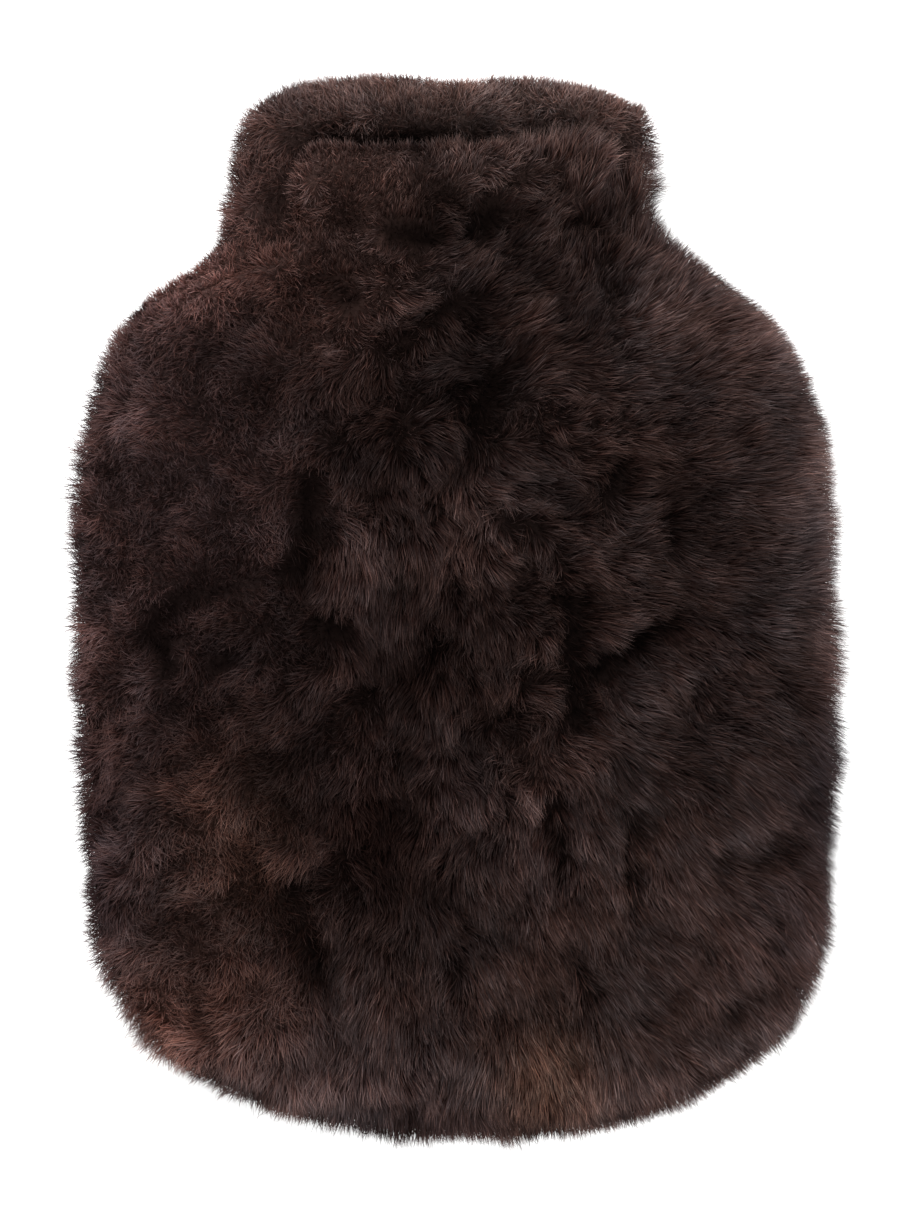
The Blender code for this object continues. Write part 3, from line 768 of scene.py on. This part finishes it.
def combed(spot, normal, on_face):
    """How the hair lies at a point, its length in mm, its unevenness and its locks."""
    weights = COMB_FLOOR
    away = Vector((spot.x / PLAIN_SPREAD, PLAIN_DOWN, 0)).normalized()
    lie, pile = away * PLAIN_FLAT * COMB_FLOOR, PLAIN_PILE * COMB_FLOOR
    wild, locks = PLAIN_WILD * COMB_FLOOR, 0.0
    for at, to, flat, length, uneven, drawn, reach in COMB:
        far = math.hypot(spot.x - at[0], spot.y - at[1]) / reach
        weight = math.exp(-far * far)
        weights += weight
        lie = lie + Vector((*to, 0)).normalized() * (flat * weight)
        pile += length * weight
        wild += uneven * weight
        locks += drawn * weight
    lie, pile, wild, locks = lie / weights, pile / weights, wild / weights, locks / weights
    lip = clamped((spot.y - LIP_FROM) / (LIP_TO - LIP_FROM)) * on_face
    pile *= 1 - read(LIP_SHORTER, spot.x) * lip
    rim = clamped((1 - abs(normal.z) / RIM_SLOPE) * RIM_SUDDEN)
    if on_face and spot.y > LIP_FROM:
        rim = 0.0
    elif not on_face and spot.y > FLAP_FROM and normal.z > 0:
        lean = clamped((spot.y - FLAP_CREST) / FLAP_HALF, -FLAP_LEAN, FLAP_LEAN)
        lie = Vector((spot.x / FLAP_SPREAD, lean, 0))
        pile, wild, locks = FLAP_HAIR
    pile += (max(rim_pile(spot), RIM_LEAST) - pile) * rim
    pile = min(pile, read(UNDER_PILE, normal.z))
    calm = 1 - RIM_CALMER * rim * (1 - shortness(spot))
    wild, locks = wild * calm, locks * calm
    for start, end, reach, strength in PARTINGS:
        off, far = beside(start, end, reach, spot)
        if far < PARTING_ENDS and normal.z > 0:
            push = off * strength * math.exp(-far * far)
            lie += Vector((push.x, push.y, 0))
    if normal.z > 0:
        pile *= 1 - PARTING_SHORT * min(parted(spot), 1)
    lie -= normal * lie.dot(normal)
    if lie.length > FLATTEST:
        lie = lie.normalized() * FLATTEST
    return lie, pile, wild, locks


def tint_and_painted_light_at(spot, normal, on_face):
    """What the fur's colour is multiplied by at a point: its own tints together with painted
    light and shade.
    """
    tint = Vector((1, 1, 1))
    # painted light round the rim and painted shade on the crown, by slope
    if not on_face or spot.y < LIP_FROM:
        tint *= read(RIM_PAINTED_LIGHT, normal.z)
    # the places' own colour, with painted light and shade among them
    for at, size, by in TINTS_AND_PAINTED_LIGHT:
        across, along = (spot.x - at[0]) / size[0], (spot.y - at[1]) / size[1]
        share = math.exp(-across * across - along * along)
        for k in range(3):
            tint[k] *= 1 + (by[k] - 1) * share
    # painted shade in the partings
    if normal.z > 0:
        tint *= 1 - PARTING_PAINTED_SHADE * min(parted(spot), 1)
    return tint


def lumpy(spot):
    """How far the short fur stands up in small lumps at a spot, from about -1 to 1."""
    return shortness(spot) * (noise.noise(spot / LUMPS[0]) + noise.noise(spot / LUMPS[1]))


def stands_up(mesh):
    """How far each point of a shell stands over the ground round it, from -1 to 1."""
    count = len(mesh.vertices)
    spots, normals = np.zeros(count * 3), np.zeros(count * 3)
    mesh.vertices.foreach_get("co", spots)
    mesh.vertex_normals.foreach_get("vector", normals)
    pairs = np.zeros(len(mesh.edges) * 2, dtype=np.int64)
    mesh.edges.foreach_get("vertices", pairs)
    pairs = pairs.reshape(-1, 2)
    spots, normals = spots.reshape(-1, 3), normals.reshape(-1, 3)
    even = spots.copy()
    share = np.bincount(pairs.ravel(), minlength=count)[:, None]
    for _ in range(LIFT_ROUNDS):
        total = np.zeros_like(even)
        np.add.at(total, pairs[:, 0], even[pairs[:, 1]])
        np.add.at(total, pairs[:, 1], even[pairs[:, 0]])
        even = total / share
    lift = ((spots - even) * normals).sum(1)
    return np.clip((lift - np.median(lift)) / LIFT_FULL, -1, 1)


def comb_shell(piece, on_face):
    """Writes how the hair lies and curls, its length, locks, and its tint with painted light and
    shade, on a shell's points.
    """
    mesh = piece.data
    count = len(mesh.vertices)
    values = {name: np.zeros((count, 3)) for name in ("comb", "tint")}
    values |= {name: np.zeros(count) for name in ("pile", "wild", "locks", "curl")}
    lift = stands_up(mesh)
    for k, vert in enumerate(mesh.vertices):
        spot = vert.co / MM
        lie, pile, wild, locks = combed(spot, vert.normal, on_face)
        values["comb"][k], values["wild"][k], values["locks"][k] = lie, wild, locks
        values["curl"][k], lump = shortness(spot), lumpy(spot)
        values["pile"][k] = pile * MM * (1 + LIFT_LONGER * lift[k]) * (1 + LUMPS_LONGER * lump)
        # painted light where the shell stands up and painted shade where it lies low
        tint = tint_and_painted_light_at(spot, vert.normal, on_face) * (1 + LIFT_PAINTED_LIGHT * lift[k])
        # painted light on the short fur's lumps and painted shade between them
        values["tint"][k] = tint * (1 + LUMPS_PAINTED_LIGHT * lump)
    for name, found in values.items():
        kind, field = ("FLOAT", "value") if found.ndim == 1 else ("FLOAT_VECTOR", "vector")
        layer = mesh.attributes.new(name, kind, "POINT")
        layer.data.foreach_set(field, found.astype(np.float32).ravel())


def one_hair():
    """A hair one unit long: a narrow blade of a root, a bend and a pointed tip."""
    mesh = bpy.data.meshes.new("hair")
    mesh.from_pydata(
        [(-1, 0, 0), (1, 0, 0), (1, 0, BEND_AT), (-1, 0, BEND_AT), (0, 0, 1)], [],
        [(1, 0, 3), (1, 3, 2), (2, 3, 4)],
    )
    mesh.shade_smooth()
    along = mesh.attributes.new("along", "FLOAT", "POINT")
    along.data.foreach_set("value", [0, 0, BEND_AT, BEND_AT, 1])
    across = mesh.attributes.new("across", "FLOAT", "POINT")
    across.data.foreach_set("value", [-ROOT_WIDTH, ROOT_WIDTH, 1, -1, 0])
    hair = bpy.data.objects.new("hair", mesh)
    scene.collection.objects.link(hair)
    return hair


def hair_tree():
    """The node tree that grows hair on a shell."""
    tree = bpy.data.node_groups.new("hair", "GeometryNodeTree")
    wanted = (
        ("Shell", "Geometry"), ("Hair", "Object"), ("Part", "String"),
        ("Per Square Metre", "Float"), ("Lock Spacing", "Float"), ("From", "Float"),
        ("To", "Float"), ("Lowest", "Float"), ("Width", "Float"), ("Draw", "Float"),
        ("Frizz", "Float"), ("Seed", "Int"), ("Fur", "Material"),
    )
    for name, kind in wanted:
        tree.interface.new_socket(name=name, in_out="INPUT", socket_type="NodeSocket" + kind)
    tree.interface.new_socket(name="Fur", in_out="OUTPUT", socket_type="NodeSocketGeometry")
    n = Nodes(tree)
    entry = n.add("NodeGroupInput")
    given = {name: Wire(n, n.named(entry.outputs, name)) for name, _ in wanted}

    def value(name, kind="FLOAT"):
        return n.out("GeometryNodeInputNamedAttribute", {"data_type": kind}, {"Name": name})

    def chance(low, high, seed, lock=None):
        kind = "FLOAT_VECTOR" if isinstance(low, tuple) else "FLOAT"
        sockets = {"Min": low, "Max": high, "Seed": seed}
        if lock:
            sockets["ID"] = lock
        return n.out("FunctionNodeRandomValue", {"data_type": kind}, sockets)

    def kept(cloud, name, what, kind="FLOAT"):
        settings = {"data_type": kind, "domain": "POINT"}
        sockets = {"Geometry": cloud, "Name": name, "Value": what}
        return n.out("GeometryNodeStoreNamedAttribute", settings, sockets)

    def unit(vector):
        return n.sum("NORMALIZE", vector)

    # where hairs and the middles of locks stand
    place = n.out("GeometryNodeInputPosition")
    up_the_cover = n.out("ShaderNodeSeparateXYZ", {}, {"Vector": place}, "Y")
    within = (up_the_cover > given["From"]) * (up_the_cover < given["To"])
    dense = given["Per Square Metre"] * value(given["Part"]) * within
    hairs = n.add(
        "GeometryNodeDistributePointsOnFaces", {"distribute_method": "RANDOM"},
        {"Mesh": given["Shell"], "Density": dense, "Seed": given["Seed"]},
    )
    locks = n.add(
        "GeometryNodeDistributePointsOnFaces", {"distribute_method": "POISSON"},
        {"Mesh": given["Shell"], "Distance Min": given["Lock Spacing"],
         "Density Max": LOCKS_AT_MOST, "Density Factor": value("bears"), "Seed": 11},
    )
    upright = [unit(Wire(n, points.outputs["Normal"]) * STEEPER) for points in (hairs, locks)]
    cloud = kept(Wire(n, hairs.outputs["Points"]), "up", upright[0], "FLOAT_VECTOR")
    crowd = kept(Wire(n, locks.outputs["Points"]), "up", upright[1], "FLOAT_VECTOR")
    any_way = ((-1, -1, -1), (1, 1, 1))
    wander = chance(*any_way, seed=5) * (given["Lock Spacing"] * BORDER_WANDER)
    nearest = n.out(
        "GeometryNodeSampleNearest", {"domain": "POINT"},
        {"Geometry": crowd, "Sample Position": place + wander},
    )

    def of_lock(what, kind="FLOAT_VECTOR"):
        settings = {"data_type": kind, "domain": "POINT"}
        sockets = {"Geometry": crowd, "Value": what, "Index": nearest}
        return n.out("GeometryNodeSampleIndex", settings, sockets)

    # how one hair lies: bent once between its root and its tip
    def swirl(where):
        wide = n.out("ShaderNodeTexNoise", {}, {"Vector": where, **WIDE_SWIRL}, "Color")
        fine = n.out("ShaderNodeTexNoise", {}, {"Vector": where, **FINE_SWIRL}, "Color")
        return (wide - 0.5) * WIDE_STRAY + (fine - 0.5) * FINE_STRAY

    lock_luck = chance(*any_way, seed=3, lock=nearest)
    lock_length = chance(*LOCK_LENGTHS, seed=4, lock=nearest)
    own_luck, tip_luck = chance(*any_way, seed=6), chance(*any_way, seed=7)

    ripple = n.out("ShaderNodeTexNoise", {}, {"Vector": place, **RIPPLES})
    ripple = n.sum("MAXIMUM", (ripple - 0.5) * RIPPLES_SHARP + 0.5, 0.0)
    ripple = n.sum("MINIMUM", ripple, 1.0)

    def bend(root, up, lie, length):
        lie = lie - up * n.measure("DOT_PRODUCT", lie, up)
        flat = n.sum("MINIMUM", n.measure("LENGTH", lie), 1.0)
        first, last = (
            unit(up * (most - flat * less) + lie * follows)
            for most, less, follows in (LOWER_PART, UPPER_PART)
        )
        middle = root + first * (length * BEND_AT)
        return middle, middle + last * (length * (1 - BEND_AT))

    wild, curl, up = value("wild"), value("curl"), value("up", "FLOAT_VECTOR")
    comb, pile, drawn = value("comb", "FLOAT_VECTOR"), value("pile"), value("locks")
    own_length = 1 - chance(0.0, SHORTER, seed=8) * (SHORTER_EVEN + wild * SHORTER_WILD)
    stray = swirl(place) + lock_luck * (LOCK_STRAY * drawn)
    middle, tip = bend(
        place, up, comb + stray * wild + own_luck * (OWN_STRAY + curl * CURL_STRAY),
        pile * own_length * (RIPPLED_HAIR[0] + ripple * RIPPLED_HAIR[1]),
    )
    stray = swirl(of_lock(place)) + lock_luck * LOCK_STRAY
    rippled = of_lock(RIPPLED_LOCK[0] + ripple * RIPPLED_LOCK[1], "FLOAT")
    lock_middle, lock_tip = bend(
        of_lock(place), of_lock(up), of_lock(comb) + stray * of_lock(wild, "FLOAT"),
        of_lock(pile, "FLOAT") * lock_length * rippled,
    )
    draw, frizz = given["Draw"] * drawn, given["Frizz"]
    middle = n.mix(draw * BEND_DRAW, middle, lock_middle, "VECTOR")
    middle = middle + own_luck * (frizz * MIDDLE_FRIZZ)
    tip = n.mix(draw, tip, lock_tip, "VECTOR")
    tip = tip + tip_luck * frizz * (TIP_FRIZZ + curl * CURL_FRIZZ)
    facing = (middle - place) + up * (FACES_UP * MM) + own_luck * (FACES_ASTRAY * MM)
    aside = unit(n.sum("CROSS_PRODUCT", facing, tip - place))
    for name, what in (("root", place), ("middle", middle), ("tip", tip), ("aside", aside)):
        cloud = kept(cloud, name, what, "FLOAT_VECTOR")
    for name, what in (
        ("shade", chance(0.0, 1.0, seed=9)),
        ("lock_shade", chance(0.0, 1.0, seed=10, lock=nearest)),
        ("thick", chance(*WIDTHS, seed=12)), ("ripple", ripple),
    ):
        cloud = kept(cloud, name, what)
    blade = n.out("GeometryNodeObjectInfo", {}, {"Object": given["Hair"]}, "Geometry")
    strands = n.out("GeometryNodeInstanceOnPoints", {}, {"Points": cloud, "Instance": blade})
    fur = n.out("GeometryNodeRealizeInstances", {}, {"Geometry": strands})

    # each strand's points go to its root, its bend and its tip
    along = value("along")
    at_root, at_tip = along < BEND_AT / 2, along > (BEND_AT + 1) / 2
    at_bend = 1 - at_root - at_tip
    half_width = given["Width"] * value("across") * value("thick") * 0.5
    girth = value("aside", "FLOAT_VECTOR") * half_width
    root, middle, tip = (value(name, "FLOAT_VECTOR") for name in ("root", "middle", "tip"))
    spot = root * at_root + middle * at_bend + tip * at_tip + girth
    parts = n.add("ShaderNodeSeparateXYZ", {}, {"Vector": spot})
    x, y, z = (Wire(n, parts.outputs[axis]) for axis in "XYZ")
    z = n.sum("MAXIMUM", z, given["Lowest"])
    spot = n.out("ShaderNodeCombineXYZ", {}, {"X": x, "Y": y, "Z": z})
    fur = n.out("GeometryNodeSetPosition", {}, {"Geometry": fur, "Position": spot})
    fur = n.out("GeometryNodeSetMaterial", {}, {"Geometry": fur, "Material": given["Fur"]})
    n.add("NodeGroupOutput", {}, {"Fur": fur})
    return tree


KEPT_WITH_HAIR = ("position", "along", "shade", "lock_shade", "ripple", "tint", "curl")
TILE_HEIGHT = 6                # of a hair's place to bake, set against its width
TILE_GAP = 0.04                # share of it that is kept free at its edges


def grown(shell, name, finish, **sizes):
    """Hair of one part of a shell, as one plain mesh with a place for each hair to bake."""
    source = bpy.data.objects.new("source", shell.data)
    scene.collection.objects.link(source)
    modifier = source.modifiers.new("hair", "NODES")
    modifier.node_group = growing
    sizes = {"Hair": hair, "Fur": finish, **sizes}
    for item in growing.interface.items_tree:
        if item.in_out == "INPUT" and item.name in sizes:
            modifier[item.identifier] = sizes[item.name]
    mesh = applied(source)
    bpy.data.objects.remove(source)
    for carried in [a.name for a in mesh.attributes]:
        layer = mesh.attributes[carried]
        if carried in KEPT_WITH_HAIR or carried.startswith(".") or layer.is_required:
            continue
        if layer.domain == "POINT" or layer.data_type == "FLOAT2":
            mesh.attributes.remove(layer)
    count = len(mesh.polygons) // 3
    columns = math.ceil(math.sqrt(count * TILE_HEIGHT))
    rows = math.ceil(count / columns)
    near, far = TILE_GAP, 1 - TILE_GAP
    foot_left, foot_right, left, right = (near, 0.0), (far, 0.0), (near, BEND_AT), (far, BEND_AT)
    tile = np.array([
        foot_right, foot_left, left, foot_right, left, right, right, left, (0.5, 1.0),
    ])
    which = np.arange(count)
    corners = np.stack([which % columns, which // columns], 1)[:, None, :] + (0.0, near)
    corners = (corners + tile[None] * (1.0, far - near)) / (columns, rows)
    bake = mesh.uv_layers.new(name="OFBake")
    bake.data.foreach_set("uv", corners.astype(np.float32).ravel())
    return show(name, mesh, finish)


def fur_finish(name, tips=1.0):
    """Hair's finish: dark at the root, partly painted shade deep in the pile, paler and greyer
    to the tip, partly painted light, uneven by hair and lock.
    """
    finish, nodes, shader = plain_finish(name, FUR_MIDDLE, FUR_ROUGH)

    def value(attribute, output="Fac"):
        settings = {"attribute_type": "GEOMETRY", "attribute_name": attribute}
        return nodes.out("ShaderNodeAttribute", settings, {}, output)

    def risen(pair, share):
        return pair[0] + share * pair[1]

    along, shade, lock, ripple, curl = (
        value(name) for name in ("along", "shade", "lock_shade", "ripple", "curl")
    )
    tip = tuple(c * tips for c in FUR_TIP[:3]) + (1,)
    stops = tuple(zip(FUR_STOPS, (FUR_ROOT, FUR_MIDDLE, tip)))
    colour = nodes.out("ShaderNodeValToRGB", {"stops": stops}, {"Fac": along})
    light = FUR_LIGHT + (shade - 0.5) * (BY_HAIR - curl * BY_HAIR_CURLY)
    # each lock's own tone, and painted light on the ripples' crests and painted shade in their
    # troughs
    light = light * risen(BY_LOCK, lock) * risen(BY_RIPPLE_PAINTED_LIGHT, ripple)
    # palest hairs paler toward the tip, partly painted glints
    light = light * (1 + (shade > PALEST_FROM) * along * (PALEST - curl * PALEST_CURLY))
    place = nodes.out("ShaderNodeTexCoord", name="Object")
    cloudy = nodes.out("ShaderNodeTexNoise", {}, {"Vector": place, **CLOUDS})
    cast = nodes.out("ShaderNodeTexNoise", {}, {"Vector": place, **CASTS})
    own_cast = nodes.sum("FRACT", shade * CAST_STRIDE) * OWN_CAST
    cast = (cast - 0.5) * CASTS_SHARP + own_cast + LEAST_CAST
    cast = nodes.mix(cast, RED_CAST, MAUVE_CAST)
    colour = colour * (light * risen(BY_CLOUD, cloudy)) * cast * value("tint", "Vector")
    rough = FUR_ROUGH + shade * ROUGHER
    nodes.feed(shader, {"Base Color": colour, "Roughness": rough, **FUR_GLEAM})
    return finish


def in_zones(shell, finish, fur, zones, seed):
    """The hair on one pelt's face, in pieces from its foot to its neck."""
    pieces = []
    for k, (name, start, end) in enumerate(zones):
        ends = {"From": start * MM, "To": end * MM, "Seed": seed + k}
        pieces.append(grown(shell, name, finish, **fur, **ends))
    return pieces


growing = hair_tree()
hair = one_hair()
comb_shell(front_underfur, on_face=True)
front_fur = fur_finish("front_fur")
front_pieces = in_zones(front_underfur, front_fur, FRONT_FUR, FRONT_ZONES, seed=21)
fastened("front_fur", *front_pieces)


# ---------------------------------------------------------------------------
# Fur of the back pelt. The same hair, cut a little shorter and pressed where
# the cover lies on it; at the neck it wraps round the front's sides.
# ---------------------------------------------------------------------------
BACK_FUR = {**FRONT_FUR, "Per Square Metre": 1.95e6, "Lowest": 0.1 * MM}
BACK_TIPS = 0.9                # how pale its tips are, against the front's
BACK_ZONES = (("back_fur_foot", -400, 0), ("back_fur_neck", 0, 400))

comb_shell(back_underfur, on_face=False)
back_fur = fur_finish("back_fur", BACK_TIPS)
back_pieces = in_zones(back_underfur, back_fur, BACK_FUR, BACK_ZONES, seed=31)
fastened("back_fur", *back_pieces)


# ---------------------------------------------------------------------------
# Fur of the edges. The tufts that stand out along the lip of the mouth and all
# round the rim, where the two pelts are sewn together with the pile outside.
# ---------------------------------------------------------------------------
EDGE_TIPS = 1.05               # how pale its tips are, against the front's
WHOLE_COVER = {"From": -1.0, "To": 1.0}


def edging(shell, name, fur, part, seed):
    """The hair of the lip or the rim on one pelt."""
    return grown(shell, name, edge_fur, **fur | WHOLE_COVER | {"Part": part, "Seed": seed})


edge_fur = fur_finish("edge_fur", EDGE_TIPS)
lip_fur = edging(front_underfur, "lip_fur", FRONT_FUR, "lip", seed=41)
rim_fur_front = edging(front_underfur, "rim_fur_front", FRONT_FUR, "rim", seed=42)
rim_fur_back = edging(back_underfur, "rim_fur_back", BACK_FUR, "rim", seed=43)
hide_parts("rim_locks")
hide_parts("mouth_locks")
fastened("edge_fur", lip_fur, rim_fur_front, rim_fur_back)

# the pattern hair and what steered the growth aren't part of the cover
bpy.data.objects.remove(hair)
for piece in (front_underfur, back_underfur):
    for attribute in ("comb", "pile", "wild", "locks", "curl", "bears", "body", "rim", "lip"):
        piece.data.attributes.remove(piece.data.attributes[attribute])
